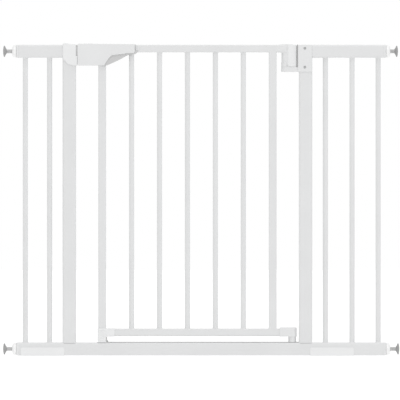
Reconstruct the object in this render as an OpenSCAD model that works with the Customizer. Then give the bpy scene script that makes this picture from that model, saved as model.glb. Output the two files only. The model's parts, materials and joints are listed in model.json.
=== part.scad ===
// Pressure-fit safety gate for a doorway, with a swinging door, a left and a right extension
// and four screw spindles. Millimetres, +Z up, +X to the right, the front faces -Y.
// Origin: on the floor, in the middle of the whole width and depth.

/* [Frame] */
// Width of the U-shaped frame between its outer faces
frame_w = 610.4; // [600:0.1:640]
// Height of the top of the rails above the floor
gate_h = 760; // [740:1:780]
// Width of a post seen from the front
post_w = 32.8; // [30:0.1:34]
// Depth of posts and rails, front to back
frame_depth = 25; // [24:0.5:25]
// Height of the top of the base rail above the floor
base_top = 32.4; // [32:0.1:33]
// Wall thickness of the frame's steel tubes
tube_wall = 1.2; // [1:0.1:1.5]
// Corner radius of the frame's steel tubes
tube_r = 5; // [4:0.5:6]
// Thickness of the clips that the gate stands on
clip_t = 0.8; // [0.6:0.1:1]

/* [Extensions] */
// Width of the left extension
left_ext_w = 113.1; // [110:0.1:116]
// Width of the right extension
right_ext_w = 180.5; // [178:0.1:184]
// Height of an extension rail's section
ext_rail_h = 31.6; // [30:0.1:32]
// Distance from the frame to the left extension's first bar
left_bar_1 = 31.9; // [31:0.1:33]
// Distance from the frame to the left extension's second bar
left_bar_2 = 91.1; // [89:0.1:93]
// Distance from the frame to the right extension's first bar
right_bar_1 = 32.1; // [31:0.1:33]
// Distance from the frame to the right extension's second bar
right_bar_2 = 97.2; // [95:0.1:99]
// Distance from the frame to the right extension's third bar
right_bar_3 = 161.1; // [159:0.1:163]

/* [Door] */
// Gap between a post and the door's stile
door_gap = 54.5; // [54:0.1:55]
// Size of the door's square tubes
door_tube = 19; // [18.5:0.1:19]
// Height of the door's rails
door_rail_h = 18.2; // [18:0.1:18.4]
// Underside of the door's bottom rail above the floor
door_bottom = 48.1; // [48:0.1:49]
// Distance between the door's bars
bar_pitch = 68.3; // [66:0.1:69]
// Outside diameter of every bar
bar_d = 12.7; // [12:0.1:13]
// Wall thickness of the bars
bar_wall = 0.9; // [0.8:0.1:1.2]

/* [Handle] */
// Half the depth of the handle housing
handle_half = 16; // [16:0.1:16.4]
// Wall thickness of the handle's shells
shell_t = 2.2; // [2:0.1:2.4]
// Travel of the thumb button and the bolt
bolt_travel = 8; // [7:0.5:8]
// Length of the crank's arm that moves the bolt
bolt_arm = 16; // [16:0.5:16.5]

/* [Spindles] */
// Outside diameter of a spindle's thread
spindle_d = 10; // [9.8:0.1:10]
// Length of a spindle
spindle_l = 90; // [80:1:100]
// Diameter of a wall foot
pad_d = 28; // [26:0.5:29]
// Diameter of an adjusting nut
nut_d = 30; // [28:0.5:30]
// Distance from a rail's end to the foot's outer face
reach = 32.5; // [32:0.1:34]
// How much further the top right foot is screwed in
tuck = 3.3; // [0:0.1:4]

/* [Hidden] */
$fn = 0;
$fa = 6;
$fs = 0.5;

steel_white = "whitesmoke";
plastic_white = "white";
dark_grey = "dimgray";
mid_grey = "darkgray";
bare_steel = "silver";

run_fit = 0.05;        // radial clearance of a shaft in its hole
plug_fit = 0.05;       // clearance of a plug inside a tube, each side
tiny = 0.1;            // how far a cutting shape passes the face it cuts

// Frame
ext_w = left_ext_w + frame_w + right_ext_w;
rail_end = ext_w / 2;
frame_x0 = -rail_end + left_ext_w;
frame_x1 = frame_x0 + frame_w;
half_d = frame_depth / 2;
post_top = gate_h - 2;
latch_post_x = frame_x0 + post_w / 2;
hinge_post_x = frame_x1 - post_w / 2;
ext_low_z = clip_t + ext_rail_h / 2;
ext_high_z = gate_h - ext_rail_h / 2;
peg_r = 5;

// Door
door_x0 = frame_x0 + post_w + door_gap;
door_x1 = frame_x1 - post_w - door_gap;
door_mid = (door_x0 + door_x1) / 2;
door_half = door_tube / 2;
low_rail_top = door_bottom + door_rail_h;
high_rail_z0 = gate_h - door_rail_h;
rod_x = door_x0 + door_half;
door_bars = 5;

// Hinge line
pivot_x = frame_x1 - post_w - 16.4;
pin_r = 4;
pin_head_r = 6;
pin_head_h = 2.4;
bush_r = 5.2;
shelf_z0 = gate_h - 66.1;
shelf_z1 = shelf_z0 + 11.2;
knuckle_z0 = shelf_z1 + 0.4;
knuckle_r = 10;

// Handle and its mechanism
handle_x0 = frame_x0 + 36.5;
handle_x1 = handle_x0 + 140.2;
handle_z0 = gate_h - 50.5;
handle_z1 = gate_h + 2.7;
rod_arm = 20;          // the crank's arm that moves the lock rod
crank_x = rod_x - rod_arm;
crank_z = gate_h - 11;
crank_tilt = asin(bolt_travel / 2 / bolt_arm);
rod_travel = bolt_travel * rod_arm / bolt_arm;
rod_pin_z = crank_z + rod_travel / 2;
bolt_pin_x = crank_x + bolt_travel / 2;
bolt_z = crank_z - bolt_arm;
crank_pin_r = 1.5;
trigger_x = handle_x1 - 13.8;
trigger_z = gate_h - 13.5;
cross_pin_r = 2;       // the crank's and the trigger's pivot pins
strike_gap = 0.8;      // between the handle's left end and the strike plate
bay_half = handle_half - shell_t;

// Threshold
strip_top = base_top + 1.4;
lug_x0 = door_x0 + 19.6;
lug_h = 13.5;
lug_t = 2.4;

// A point list for an arc of radius r round c, from angle a0 to a1
function arc(c, r, a0, a1, n = 6) =
    [for (i = [0 : n]) c + r * [cos(a0 + (a1 - a0) * i / n), sin(a0 + (a1 - a0) * i / n)]];

// Outline of a rectangle with rounded corners, centred
function round_rect(w, h, r) = concat(
    arc([w / 2 - r, h / 2 - r], r, 0, 90), arc([r - w / 2, h / 2 - r], r, 90, 180),
    arc([r - w / 2, r - h / 2], r, 180, 270), arc([w / 2 - r, r - h / 2], r, 270, 360));

// Outline of a bar with round ends, from p to q
function capsule(p, q, r) = let (a = atan2(q[1] - p[1], q[0] - p[0])) concat(
    arc(q, r, a - 90, a + 90, 10), arc(p, r, a + 90, a + 270, 10));

function unit(v) = v / norm(v);
function turn(a) = a > 180 ? a - 360 : a < -180 ? a + 360 : a;

// The corner c between p and q, replaced by an arc of radius r that touches both sides
function fillet(p, c, q, r, n) = r == 0 ? [c] :
    let (u = unit(p - c), v = unit(q - c), half = acos(u * v) / 2,
         mid = c + unit(u + v) * r / sin(half), t = r / tan(half),
         a = c + u * t - mid, b = c + v * t - mid,
         a0 = atan2(a[1], a[0]), sweep = turn(atan2(b[1], b[0]) - a0))
    [for (i = [0 : n]) mid + r * [cos(a0 + sweep * i / n), sin(a0 + sweep * i / n)]];

// Outline through corners given as [x, y, corner radius]
function outline(c, n = 6) = let (m = len(c), at = [for (p = c) [p[0], p[1]]])
    [for (i = [0 : m - 1]) each fillet(at[(i + m - 1) % m], at[i], at[(i + 1) % m], c[i][2], n)];

// Rings of points round a helical wire, and the faces that join them
function coil_points(r, wire_r, pitch, turns, steps, sides) =
    [for (i = [0 : steps * turns]) let (a = 360 * i / steps, z = pitch * i / steps)
        for (j = [0 : sides - 1]) let (b = 360 * j / sides)
            [(r + wire_r * cos(b)) * cos(a), (r + wire_r * cos(b)) * sin(a), z + wire_r * sin(b)]];
function coil_faces(rings, sides) = concat(
    [[for (j = [0 : sides - 1]) j]],
    [for (i = [0 : rings - 2], j = [0 : sides - 1])
        [i * sides + j, (i + 1) * sides + j, (i + 1) * sides + (j + 1) % sides, i * sides + (j + 1) % sides]],
    [[for (j = [sides - 1 : -1 : 0]) (rings - 1) * sides + j]]);

module coil(r, wire_r, pitch, turns) {
    steps = 14;
    sides = 6;
    polyhedron(coil_points(r, wire_r, pitch, turns, steps, sides),
               coil_faces(steps * turns + 1, sides), convexity = 8);
}

// Extrusions along X, and along Y from y0 to y1, of a front or side outline
module along_x(x0, x1) translate([x0, 0, 0]) rotate([90, 0, 90]) linear_extrude(x1 - x0) children();
module along_y(y0, y1) translate([0, y1, 0]) rotate([90, 0, 0]) linear_extrude(y1 - y0) children();
module along_z(z0, z1) translate([0, 0, z0]) linear_extrude(z1 - z0) children();

// Shafts and holes along each direction
module rod_x(x0, x1, y, z, r) translate([x0, y, z]) rotate([0, 90, 0]) cylinder(r = r, h = x1 - x0);
module rod_y(y0, y1, x, z, r) translate([x, y0, z]) rotate([-90, 0, 0]) cylinder(r = r, h = y1 - y0);
module rod_z(z0, z1, x, y, r) translate([x, y, z0]) cylinder(r = r, h = z1 - z0);

// A box given by its lowest and highest corners
module block(a, b) translate(a) cube(b - a);

// Section of a rectangular tube, w by h
module tube_section(w, h, r, wall) difference() {
    polygon(round_rect(w, h, r));
    polygon(round_rect(w - 2 * wall, h - 2 * wall, max(r - wall, 0.5)));
}

// Rectangular tube lying along X with its middle at height z
module rail(x0, x1, z, h, depth, r)
    translate([0, 0, z]) along_x(x0, x1) tube_section(depth, h, r, tube_wall);

// Upright rectangular tube
module upright(x, z0, z1, w, depth, r)
    translate([x, 0, 0]) along_z(z0, z1) tube_section(w, depth, r, tube_wall);

// Upright round bar, hollow
module bar(x, z0, z1) difference() {
    rod_z(z0, z1, x, 0, bar_d / 2);
    rod_z(z0 - tiny, z1 + tiny, x, 0, bar_d / 2 - bar_wall);
}

// ---------------------------------------------------------------- frame

module base_rail() color(steel_white) difference() {
    rail(frame_x0, frame_x1, (base_top + clip_t) / 2, base_top - clip_t, frame_depth, tube_r);
    rod_z(base_top - 5, base_top + 5, pivot_x, 0, bush_r + run_fit);
    rod_z(base_top - 5, base_top + 5, rod_x, 0, 3.5);
}

module post_latch() color(steel_white) difference() {
    upright(latch_post_x, base_top, post_top, post_w, frame_depth, tube_r);
    block([frame_x0 + post_w - 5, -6, bolt_z - 4.5], [frame_x0 + post_w + 5, 6, bolt_z + 4.5]);
    rod_x(frame_x0 - 5, frame_x0 + 5, 0, ext_high_z, 7 + run_fit);
}

module post_hinge() color(steel_white) difference() {
    upright(hinge_post_x, base_top, post_top, post_w, frame_depth, tube_r);
    for (z = hinge_screw_z) rod_y(-half_d - 3, -half_d + 3, hinge_screw_x, z, 2 + run_fit);
    rod_x(frame_x1 - 5, frame_x1 + 5, 0, ext_high_z, 7 + run_fit);
}

// Cover on the latch post: side skirts, top and a lip towards the door below the strike plate
module strike_housing() {
    x0 = frame_x0 + 0.3;
    x1 = frame_x0 + post_w - 1.2;
    lip_x = handle_x0 - 1.2;
    top = gate_h + 4.3;
    skirt = [[x0, gate_h - 34, 14], [x0 + 13, gate_h - 47, 8], [x1 - 6, gate_h - 50.7, 2],
             [lip_x, gate_h - 50.7, 1.5], [lip_x, gate_h - 27, 1.5], [x1, gate_h - 27, 0],
             [x1, gate_h + 1.4, 3], [x0 + 18, top - 2.6, 8], [x0 + 11, top, 4], [x0, top, 5]];
    color(plastic_white) difference() {
        along_y(-14.8, 14.8) polygon(outline(skirt));
        block([frame_x0 - 1, -half_d - tiny, base_top], [frame_x0 + post_w + tiny, half_d + tiny, post_top]);
        block([x1 - 20, -5.5, bolt_z - 4], [x1 + 20, 5.5, bolt_z + 4]);
    }
}

// Dark striker on the post's inner face, with the slot for the bolt
module strike_plate() color(dark_grey) difference() {
    along_x(frame_x0 + post_w + tiny, handle_x0 - strike_gap) translate([0, gate_h - 13.4])
        polygon(round_rect(24, 26.4, 2));
    block([frame_x0 + post_w - 5, -5.5, bolt_z - 4], [handle_x0 + 5, 5.5, bolt_z + 4]);
}

module threshold_strip() color(dark_grey) difference() {
    union() {
        block([lug_x0 + 0.5, -8, base_top], [frame_x1 - post_w - 0.3, 8, strip_top]);
        along_y(-6, 6) polygon(outline([[lug_x0, base_top, 0], [lug_x0 + 5.8, base_top, 0],
            [lug_x0 + 5.8, strip_top, 0], [lug_x0 + lug_t, strip_top + 5.5, 3],
            [lug_x0 + lug_t, base_top + lug_h, 1], [lug_x0, base_top + lug_h, 1]]));
    }
    rod_z(base_top - 1, strip_top + 1, pivot_x, 0, bush_r + 3.2);
}

module pivot_bush() color(plastic_white) translate([pivot_x, 0, 0]) difference() {
    rotate_extrude() polygon([[0, base_top - 10], [bush_r, base_top - 10], [bush_r, base_top],
        [bush_r + 1.4, base_top], [bush_r + 1.4, strip_top - 0.4], [bush_r + 1, strip_top], [0, strip_top]]);
    rod_z(base_top - 11, strip_top + 1, 0, 0, pin_r + run_fit);
}

bracket_x0 = frame_x1 - post_w - 2.3;
hinge_screw_x = bracket_x0 + 16.8;
hinge_screw_z = [gate_h - 8.5, gate_h - 54.6];

// Sleeve round the top of the hinge post, and the shelf that the knuckle turns on
module hinge_bracket() {
    x1 = frame_x1 - 1;
    color(plastic_white) difference() {
        union() {
            along_y(-15, 15) polygon(outline([[bracket_x0, shelf_z0, 2], [x1, shelf_z0, 3],
                [x1, gate_h, 2], [bracket_x0, gate_h, 2]]));
            along_z(shelf_z0, shelf_z1) polygon(concat(arc([pivot_x - 14.7, 0], 12, 90, 270, 16),
                [[bracket_x0 + 3, -12], [bracket_x0 + 3, 12]]));
        }
        block([bracket_x0 + 2.3 - tiny, -half_d - tiny, base_top],
              [frame_x1 + 1, half_d + tiny, post_top + tiny]);
        rod_z(shelf_z0 - 1, shelf_z1 + 1, pivot_x, 0, pin_r);
        rod_z(shelf_z0 - 1, shelf_z0 + pin_head_h, pivot_x, 0, pin_head_r);
        for (z = hinge_screw_z) rod_y(-16, 0, hinge_screw_x, z, 2 + run_fit);
    }
}

module hinge_liner() color(mid_grey)
    block([pivot_x + knuckle_r + 0.9, -10, knuckle_z0], [bracket_x0, 10, gate_h - 0.5]);

// Two domed screws with crossed slots
module hinge_screws() color(bare_steel) for (z = hinge_screw_z) difference() {
    union() {
        rod_y(-16, -15, hinge_screw_x, z, 3);
        rod_y(-15, -9, hinge_screw_x, z, 2);
    }
    block([hinge_screw_x - 2, -17, z - 0.4], [hinge_screw_x + 2, -15.4, z + 0.4]);
    block([hinge_screw_x - 0.4, -17, z - 2], [hinge_screw_x + 0.4, -15.4, z + 2]);
}

module hinge_pin() color(bare_steel) {
    rod_z(shelf_z0, gate_h - 9, pivot_x, 0, pin_r);
    rod_z(shelf_z0, shelf_z0 + pin_head_h, pivot_x, 0, pin_head_r);
}

// ---------------------------------------------------------------- extensions

band_l = 6;            // part of an end plug that shows at the end of the rail

module ext_rail(x0, x1, z) color(steel_white) rail(x0, x1, z, ext_rail_h, frame_depth, tube_r);
module left_ext_top_rail() ext_rail(band_l - rail_end, frame_x0, ext_high_z);
module left_ext_bottom_rail() ext_rail(band_l - rail_end, frame_x0, ext_low_z);
module right_ext_top_rail() ext_rail(frame_x1, rail_end - band_l, ext_high_z);
module right_ext_bottom_rail() ext_rail(frame_x1, rail_end - band_l, ext_low_z);

module ext_bar(x) color(steel_white) bar(x, clip_t + ext_rail_h, gate_h - ext_rail_h);

// Solid that fills the inside of a tube of height h
module tube_plug(x0, x1, z, h) translate([0, 0, z]) along_x(x0, x1)
    polygon(round_rect(frame_depth - 2 * (tube_wall + plug_fit), h - 2 * (tube_wall + plug_fit),
                       tube_r - tube_wall + 0.2));

// The four corners of the frame, as [side, height]
frame_ends = [for (side = [-1, 1], z = [ext_high_z, ext_low_z]) [side, z]];

module mirror_if(side) if (side < 0) mirror([1, 0, 0]) children(); else children();
function side_x(side) = side < 0 ? -frame_x0 : frame_x1;

// Moulded plugs in the extensions' inner ends, each with a peg that enters the frame
module joiner_pegs() color(mid_grey) for (e = frame_ends) mirror_if(e[0]) {
    face = side_x(e[0]);
    tube_plug(face + 0.2, face + 22, e[1], ext_rail_h);
    rod_x(face - 15, face + 1, 0, e[1], peg_r - run_fit);
}

// Sockets in the posts and in the ends of the base rail
module frame_sockets() color(mid_grey) for (e = frame_ends) mirror_if(e[0]) {
    face = side_x(e[0]);
    difference() {
        if (e[1] > base_top) rod_x(face - 16, face, 0, e[1], 7);
        else tube_plug(face - 18, face, (base_top + clip_t) / 2, base_top - clip_t);
        rod_x(face - 20, face + 1, 0, e[1], peg_r);
    }
}

// End plugs that guide the spindles
module rail_end_plugs() color(plastic_white) for (side = [-1, 1], z = [ext_high_z, ext_low_z])
    mirror_if(side) difference() {
        union() {
            translate([0, 0, z]) along_x(rail_end - band_l, rail_end)
                polygon(round_rect(frame_depth, ext_rail_h, tube_r));
            tube_plug(rail_end - 22, rail_end - band_l + tiny, z, ext_rail_h);
        }
        rod_x(rail_end - 23, rail_end + 1, 0, z, spindle_d / 2 + run_fit);
    }

// U-shaped clips under the lower seams
module joint_clips() color(plastic_white) {
    clip_h = 20.5;
    clip_l = 106;
    for (x0 = [frame_x0 + 4 - clip_l, frame_x1 - 5]) {
        block([x0 + 4, -13.4, 0], [x0 + clip_l - 4, 13.4, clip_t]);
        for (y0 = [-13.4, half_d + tiny]) along_y(y0, y0 + 0.8)
            polygon(outline([[x0, 0, 4], [x0 + clip_l, 0, 4], [x0 + clip_l, clip_h, 4], [x0, clip_h, 4]]));
    }
}

// ---------------------------------------------------------------- door

module door_rail(x0, x1, z0) rail(x0, x1, z0 + door_rail_h / 2, door_rail_h, door_tube, 3);

module door_top_rail() color(steel_white) difference() {
    door_rail(door_x0 + 0.6, pivot_x - 21.5, high_rail_z0);
    block([rod_x - 8, -7, high_rail_z0 - 3], [rod_x + 8, 7, high_rail_z0 + 3]);
    rod_y(-15, 15, trigger_x, trigger_z, cross_pin_r + run_fit);
}

module door_bottom_rail() color(steel_white) difference() {
    door_rail(door_x0, pivot_x - 18, door_bottom);
    rod_z(door_bottom - 1, low_rail_top + 1, rod_x, 0, 3.5);
}

module door_stile(x) color(steel_white)
    upright(x, low_rail_top, high_rail_z0, door_tube, door_tube, 3);
module door_stile_latch() door_stile(door_x0 + door_half);
module door_stile_hinge() door_stile(door_x1 - door_half);

module door_bar(i) color(steel_white)
    bar(door_mid + (i - (door_bars + 1) / 2) * bar_pitch, low_rail_top, high_rail_z0);

// Boot over the lower latch corner: a ribbed leg down to the base rail, and a sleeve on the rail
module latch_foot() {
    x0 = door_x0 - 1.2;
    leg_x1 = lug_x0 - 0.8;
    rib_pitch = 6.1;
    color(plastic_white) difference() {
        union() {
            block([x0, -11.5, base_top + 0.5], [leg_x1, 11.5, low_rail_top + 1]);
            block([leg_x1 - tiny, -11, door_bottom - 0.8], [leg_x1 + 21, 11, low_rail_top + 0.8]);
            for (i = [0 : 5], z = base_top + 0.1 + i * rib_pitch)
                block([x0 - 0.6, -12, max(z, base_top + 0.5)], [leg_x1 - 2, 12, z + 2.6]);
        }
        block([door_x0, -door_half, door_bottom], [leg_x1 + 22, door_half, low_rail_top + tiny]);
        block([door_x0 - tiny, -door_half - tiny, low_rail_top],
              [door_x0 + door_tube + tiny, door_half + tiny, low_rail_top + 3]);
        rod_z(base_top - 1, door_bottom + 1, rod_x, 0, 3);
    }
}

// Knuckle on the hinge pin, with the collar that takes the end of the top rail
module hinge_knuckle() color(plastic_white) difference() {
    union() {
        along_z(knuckle_z0, gate_h + 1.6) polygon(concat(arc([pivot_x - 15, 0], knuckle_r, 90, 270, 14),
            arc([pivot_x, 0], knuckle_r, -90, 90, 14)));
        translate([0, 0, high_rail_z0 + door_rail_h / 2]) along_x(door_x1, pivot_x - 18)
            polygon(round_rect(door_tube + 3, door_rail_h + 3.2, 4));
    }
    translate([0, 0, high_rail_z0 + door_rail_h / 2]) along_x(door_x1 - 1, pivot_x - 21.4)
        polygon(round_rect(door_tube + 0.1, door_rail_h + 0.1, 3));
    rod_z(knuckle_z0 - 1, gate_h - 7, pivot_x, 0, pin_r + run_fit);
    rod_z(gate_h - 37, gate_h - 13, pivot_x, 0, 7);
}

module pivot_cap() color(plastic_white) difference() {
    union() {
        along_z(door_bottom - 0.6, low_rail_top + 3) polygon(concat(
            [[door_x1 + 7.5, 11], [door_x1 + 7.5, -11]], arc([pivot_x, 0], 11, -90, 90, 14)));
        rod_z(strip_top + 0.4, door_bottom, pivot_x, 0, 9.4);
    }
    translate([0, 0, door_bottom + door_rail_h / 2]) along_x(door_x1, pivot_x - 17.9)
        polygon(round_rect(door_tube + 0.1, door_rail_h + 0.1, 3));
    rod_z(strip_top - 1, door_bottom + 14, pivot_x, 0, pin_r);
}

module pivot_pin() color(bare_steel) rod_z(base_top - 7, door_bottom + 14, pivot_x, 0, pin_r);

module hinge_spring() color(bare_steel)
    translate([pivot_x, 0, gate_h - 36]) coil(5.6, 0.6, 2.2, 10);

// ---------------------------------------------------------------- handle shells

handle_outline = outline([
    [handle_x0, handle_z0, 3], [handle_x0, handle_z1, 4], [handle_x1, handle_z1 - 1.2, 2],
    [handle_x1, handle_z0 + 30.1, 4.5], [handle_x1 - 19.3, handle_z0 + 30.1, 3],
    [handle_x1 - 24.3, handle_z0 + 28.5, 10], [handle_x1 - 57, handle_z0 + 24.8, 8],
    [handle_x1 - 64.8, handle_z0 + 15.6, 30], [handle_x1 - 75, handle_z0, 1]]);

bosses = [[handle_x0 + 7.5, handle_z0 + 8], [handle_x0 + 7.5, handle_z0 + 44.5],
          [handle_x0 + 36, handle_z0 + 8]];

// Half of the handle housing, on the +Y side of the parting plane, with screw holes of the
// given [radius, depth]
module handle_half_shell(screw_hole) difference() {
    union() {
        difference() {
            along_y(0, handle_half) polygon(handle_outline);
            // bay of the bolt, the button's neck and the crank
            block([handle_x0 + 2.2, -1, handle_z0 + 2.2], [door_x0 - 1.4, bay_half, gate_h - 1.8]);
            // bay of the trigger, open below
            block([door_x0 - 1.5, -1, handle_z0 + 2.2], [handle_x1 - 6, bay_half, gate_h - 4]);
            block([handle_x1 - 80, -1, handle_z0 - 9], [handle_x1 + 1, bay_half, trigger_z + 1.5]);
        }
        for (b = bosses) rod_y(0.1, bay_half + tiny, b[0], b[1], 3.2);
        rod_y(2.2, bay_half + tiny, crank_x, crank_z, 4);
    }
    block([door_x0 - 1.4, -1, high_rail_z0 - tiny], [handle_x1 + 1, door_half + tiny, gate_h + tiny]);
    block([door_x0 - 0.2, -1, handle_z0 - 1], [door_x0 + door_tube + 0.2, door_half + tiny, high_rail_z0]);
    block([handle_x0 - 1, -1, bolt_z - 3.8], [handle_x0 + 3, 5.2, bolt_z + 3.8]);
    block([handle_x0 + 4.8, -1, gate_h + 0.5], [handle_x0 + 40, 8.4, handle_z1 + 1]);
    block([handle_x0 + 10.8, -1, gate_h - 3], [handle_x0 + 34, 3, handle_z1 + 1]);
    for (b = bosses) rod_y(-1, screw_hole[1], b[0], b[1], screw_hole[0]);
    rod_y(-1, bay_half + 1, crank_x, crank_z, cross_pin_r);
    rod_y(-1, bay_half + 1, trigger_x, trigger_z, cross_pin_r);
}

module handle_front() color(plastic_white) mirror([0, 1, 0]) handle_half_shell([1.5, 11]);

module handle_rear() color(plastic_white) difference() {
    handle_half_shell([1.6, handle_half + 1]);
    for (b = bosses) rod_y(handle_half - 2, handle_half + 1, b[0], b[1], 3.2);
}

module handle_screws() color(bare_steel) for (b = bosses) {
    rod_y(-10, handle_half - 2, b[0], b[1], 1.45);
    rod_y(handle_half - 2, handle_half - 0.2, b[0], b[1], 2.9);
}

// The crank's and the trigger's pivot pins, from shell to shell
module handle_pins() color(bare_steel) {
    rod_y(-bay_half - 0.9, bay_half + 0.9, crank_x, crank_z, cross_pin_r - 0.02);
    rod_y(-bay_half - 0.9, bay_half + 0.9, trigger_x, trigger_z, cross_pin_r - 0.02);
}

// ---------------------------------------------------------------- moving parts in the handle

// Grey trigger: two cheeks outside the rail and stile, joined by a web under the finger. The
// cheeks' right ends show as a nose and an upstand beyond the housing, the left as a short tail.
module release_trigger() {
    x = handle_x0;
    z = handle_z0;
    cheek = [[x + 67.2, z + 0.8, 0.8], [x + 72.4, z + 0.8, 1.5],
             [x + 102.9, z + 14.4, 200], [x + 123.3, z + 26, 6], [x + 140.5, z + 27.9, 3],
             [x + 148.2, z + 33.8, 1], [x + 147, z + 35.2, 1],
             [handle_x1 + 2.2, z + 35.5, 0.5], [handle_x1 + 2.2, handle_z1 - 1.4, 0.8],
             [handle_x1 + 0.4, handle_z1 - 1.4, 0.5], [handle_x1 + 0.4, trigger_z + 0.3, 0.5],
             [trigger_x + 7.5, trigger_z + 0.3, 1], [trigger_x + 5.5, trigger_z + 4.5, 3],
             [trigger_x - 2, trigger_z + 6, 3], [trigger_x - 36, trigger_z - 1.5, 6], [x + 67.2, z + 20, 3]];
    web = [[x + 74.9, z + 2.2], [x + 102.9, z + 14.8], [x + 118.4, z + 23.3],
           [x + 116.8, z + 25.5], [x + 101.5, z + 17.2], [x + 74.9, z + 5.4]];
    color(mid_grey) difference() {
        union() {
            for (y0 = [-13.3, 10.3]) along_y(y0, y0 + 3) polygon(outline(cheek, 5));
            along_y(-10.4, 10.4) polygon(web);
        }
        rod_y(-15, 15, trigger_x, trigger_z, cross_pin_r + run_fit);
    }
}

module trigger_spring() color(bare_steel)
    translate([handle_x0 + 90.4, 0, handle_z0 + 15.1]) coil(3.5, 0.45, 2.35, 7);

module thumb_button() color(mid_grey) {
    x0 = handle_x0 + 13.4;
    block([x0, -8, gate_h + 0.8], [x0 + 26, 8, handle_z1 + 0.1]);
    for (i = [0 : 4]) rod_y(-7, 7, x0 + 5 + i * 4, handle_z1 - 0.1, 0.8);
    block([x0 + 6, -2.6, bolt_z + 3.5], [x0 + 20, 2.6, gate_h + 0.9]);
}

// Bolt, with a slotted tail plate that the crank's pin moves
module latch_bolt() color(mid_grey) difference() {
    union() {
        block([handle_x0, -5, bolt_z - 3.5], [bolt_pin_x - 12, 5, bolt_z + 3.5]);
        block([bolt_pin_x - 13, 2, bolt_z - 3.5], [bolt_pin_x + 4.5, 5, bolt_z + 3.5]);
    }
    along_y(1, 6) polygon(capsule([bolt_pin_x, bolt_z - 0.4], [bolt_pin_x, bolt_z + 0.9], 1.8));
}

// Bell crank, drawn in the unlocked position
module bell_crank() {
    bolt_end = [crank_x, crank_z] + bolt_arm * [sin(crank_tilt), -cos(crank_tilt)];
    rod_end = [crank_x, crank_z] + rod_arm * [cos(crank_tilt), sin(crank_tilt)];
    color(bare_steel) difference() {
        union() {
            along_y(-1.5, 1.5) union() {
                polygon(capsule([crank_x, crank_z], bolt_end, 2.4));
                polygon(capsule([crank_x, crank_z], rod_end, 2.4));
            }
            rod_y(-1.5, 1.5, crank_x, crank_z, 4);
            for (p = [bolt_end, rod_end]) rod_y(0, 5.5, p[0], p[1], crank_pin_r);
        }
        rod_y(-3, 3, crank_x, crank_z, cross_pin_r + run_fit);
    }
}

// Rod down the stile, with a slotted head for the crank's other pin
module lock_rod() color(bare_steel) difference() {
    union() {
        rod_z(base_top + 1, rod_pin_z - 5, rod_x, 0, 2.5);
        block([rod_x - 4, -2.5, rod_pin_z - 11], [rod_x + 4, 5, rod_pin_z - 4.6]);
        block([rod_x - 4.5, 2, rod_pin_z - 5], [rod_x + 4, 5, rod_pin_z + 3.5]);
    }
    along_y(1, 6) polygon(capsule([rod_x - 0.9, rod_pin_z], [rod_x + 0.2, rod_pin_z], 1.8));
}

// ---------------------------------------------------------------- spindles

// The four outer corners, as [side, height]: 1 top left, 2 bottom left, 3 top right, 4 bottom right
spindle_at = [[-1, ext_high_z], [-1, ext_low_z], [1, ext_high_z], [1, ext_low_z]];

function reach_of(i) = i == 3 ? reach - tuck : reach;

module at_corner(i) mirror_if(spindle_at[i - 1][0])
    translate([rail_end, 0, spindle_at[i - 1][1]]) rotate([0, 90, 0]) children();

module spindle(i) color(dark_grey) at_corner(i)
    translate([0, 0, reach_of(i) - 2.5 - spindle_l]) cylinder(r = spindle_d / 2, h = spindle_l);

module wall_pad(i) color(dark_grey) at_corner(i) translate([0, 0, reach_of(i)]) difference() {
    rotate_extrude() polygon([[0, -8.5], [6.4, -8.5], [7.2, -7.8], [pad_d / 2 - 3.4, -6],
        [pad_d / 2 - 1, -4.4], [pad_d / 2, -2.8], [pad_d / 2, -1.6], [pad_d / 2 - 1, 0], [0, 0]]);
    translate([0, 0, -9.5]) cylinder(r = spindle_d / 2, h = 7);
}

module adjust_nut(i) color(plastic_white) at_corner(i) difference() {
    rotate_extrude() polygon([[0, 0.3], [nut_d / 2 - 0.8, 0.3], [nut_d / 2, 1.1], [nut_d / 2, 5.5],
                              [nut_d / 2 - 3, 9], [9, 10.3], [0, 10.3]]);
    translate([0, 0, -1]) cylinder(r = spindle_d / 2 + run_fit, h = 13);
    for (a = [0 : 36 : 324]) rotate(a) translate([nut_d / 2 + 1.8, 0, -1]) cylinder(r = 2.8, h = 13);
}

base_rail();
post_latch();
post_hinge();
strike_housing();
strike_plate();
threshold_strip();
pivot_bush();
hinge_bracket();
hinge_liner();
hinge_screws();
hinge_pin();
left_ext_top_rail();
left_ext_bottom_rail();
ext_bar(frame_x0 - left_bar_1);  // left_ext_bar_1
ext_bar(frame_x0 - left_bar_2);  // left_ext_bar_2
right_ext_top_rail();
right_ext_bottom_rail();
ext_bar(frame_x1 + right_bar_1);  // right_ext_bar_1
ext_bar(frame_x1 + right_bar_2);  // right_ext_bar_2
ext_bar(frame_x1 + right_bar_3);  // right_ext_bar_3
joiner_pegs();
frame_sockets();
rail_end_plugs();
joint_clips();
door_top_rail();
door_bottom_rail();
door_stile_latch();
door_stile_hinge();
door_bar(1);  // door_bar_1
door_bar(2);  // door_bar_2
door_bar(3);  // door_bar_3
door_bar(4);  // door_bar_4
door_bar(5);  // door_bar_5
handle_front();
handle_rear();
handle_screws();
handle_pins();
latch_foot();
hinge_knuckle();
pivot_cap();
pivot_pin();
hinge_spring();
trigger_spring();
release_trigger();
thumb_button();
latch_bolt();
bell_crank();
lock_rod();
spindle(1);  // spindle_1
spindle(2);  // spindle_2
spindle(3);  // spindle_3
spindle(4);  // spindle_4
wall_pad(1);  // wall_pad_1
wall_pad(2);  // wall_pad_2
wall_pad(3);  // wall_pad_3
wall_pad(4);  // wall_pad_4
adjust_nut(1);  // adjust_nut_1
adjust_nut(2);  // adjust_nut_2
adjust_nut(3);  // adjust_nut_3
adjust_nut(4);  // adjust_nut_4
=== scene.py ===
"""Looks of a pressure-fit doorway safety gate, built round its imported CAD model.

Lengths in this script are millimetres in the model's own frame: +X to the right seen from the
front, +Y to the back, +Z up. Meshes are scaled to metres when they are made.
"""
import json
import math

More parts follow.
